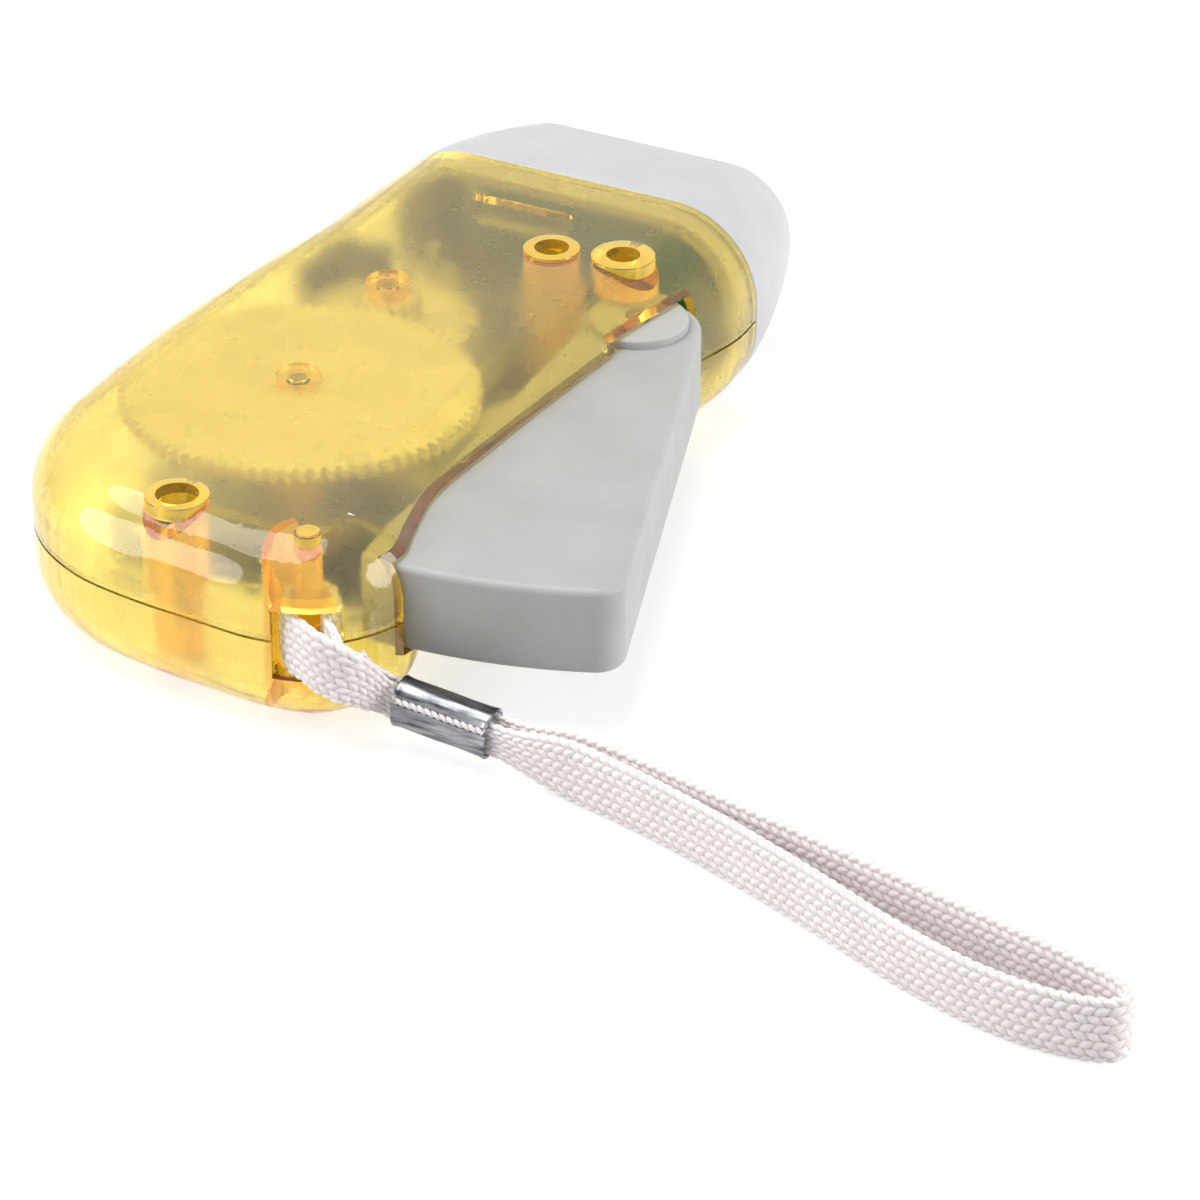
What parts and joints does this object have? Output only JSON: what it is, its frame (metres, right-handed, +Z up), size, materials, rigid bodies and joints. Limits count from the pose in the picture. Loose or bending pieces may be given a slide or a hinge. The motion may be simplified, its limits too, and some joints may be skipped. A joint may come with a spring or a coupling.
{
  "type": "squeeze-lever dynamo flashlight",
  "caption": "Flat see-through hand flashlight with a sprung squeeze lever that drives a geared dynamo, lamps behind a clear lens and a braided wrist strap.",
  "frame": {"origin": "on the flat underside, straight below the main gear's axle", "axes": "+X from the rear end to the lens, +Z up, the squeeze lever on the -Y side"},
  "size_m": [0.1229, 0.142, 0.025],
  "materials": {
    "shell": "glossy see-through yellow moulding",
    "head": "light grey moulding, satin",
    "lens": "clear polished window",
    "reflector": "bright metallised moulding",
    "board": "lacquered circuit board",
    "lamp": "clear cast resin",
    "dark_plastic": "dark moulding",
    "tray": "grey moulding",
    "steel": "turned steel",
    "bright_steel": "bright plated steel",
    "ferrule": "bright pressed sheet with a crimp seam",
    "copper": "enamelled copper winding",
    "red_insulation": "red insulation",
    "black_insulation": "black insulation",
    "braid": "off-white flat tubular braid",
    "lever": "grey moulding, fine matt grain",
    "nylon": "white nylon moulding",
    "magnet": "sintered ferrite, dark grey"
  },
  "bodies": {
    "housing": {"lower_shell": "shell", "upper_shell": "shell", "head_cap": "head", "lens": "lens", "reflector": "reflector", "led_board": "board", "led_left": "lamp", "led_middle": "lamp", "led_right": "lamp", "chassis_plate": "dark_plastic", "main_axle": "steel", "idler_axle": "steel", "rotor_axle": "steel", "lever_pivot_pin": "steel", "stator_cup": "steel", "stator_coil": "copper", "battery_holder": "tray", "cell_rear": "bright_steel", "cell_middle": "bright_steel", "cell_front": "bright_steel", "contact_top": "bright_steel", "contact_rear": "bright_steel", "contact_middle": "bright_steel", "contact_front": "bright_steel", "switch_case": "dark_plastic", "screw_front": "bright_steel", "screw_rear": "bright_steel", "lever_spring": "steel", "red_wire": "red_insulation", "black_wire": "black_insulation", "wrist_strap": "braid", "strap_ferrule": "ferrule"},
    "lever": {"squeeze_lever": "lever", "lever_sector_gear": "nylon"},
    "drive": {"drive_pinion": "nylon"},
    "main": {"main_gear": "nylon"},
    "idler": {"idler_gear": "nylon"},
    "rotor": {"rotor_pinion": "nylon", "flywheel": "steel", "ring_magnet": "magnet"},
    "switch": {"slide_switch": "head"}
  },
  "joints": [
    {"name": "lever_squeeze", "type": "hinge", "parent": "housing", "child": "lever", "pos_m": [0.03461, -0.02379, 0.0134], "axis": [0, 0, 1], "range_deg": [-23, 0], "stiffness_Nm_per_rad": 0.65, "springref_deg": 8.82},
    {"name": "drive_spin", "type": "hinge", "parent": "housing", "child": "drive", "pos_m": [0, 0, 0.0127], "axis": [0, 0, 1], "range_deg": [0, 179]},
    {"name": "main_spin", "type": "hinge", "parent": "housing", "child": "main", "pos_m": [0, 0, 0.0196], "axis": [0, 0, 1], "range_deg": [0, 179]},
    {"name": "idler_spin", "type": "hinge", "parent": "housing", "child": "idler", "pos_m": [0.02292, 0.00188, 0.0176], "axis": [0, 0, 1], "range_deg": [-994, 0]},
    {"name": "rotor_spin", "type": "hinge", "parent": "housing", "child": "rotor", "pos_m": [0.03537, 0.00297, 0.0105], "axis": [0, 0, 1], "range_deg": [0, 3975]},
    {"name": "switch_slide", "type": "slide", "parent": "housing", "child": "switch", "axis": [1, 0, 0], "range_m": [0, 0.003]}
  ],
  "couplings": [
    {"joint": "drive_spin", "follows": "lever_squeeze", "ratio": -7.75},
    {"joint": "main_spin", "follows": "lever_squeeze", "ratio": -7.75},
    {"joint": "idler_spin", "follows": "lever_squeeze", "ratio": 43.179},
    {"joint": "rotor_spin", "follows": "lever_squeeze", "ratio": -172.71}
  ]
}
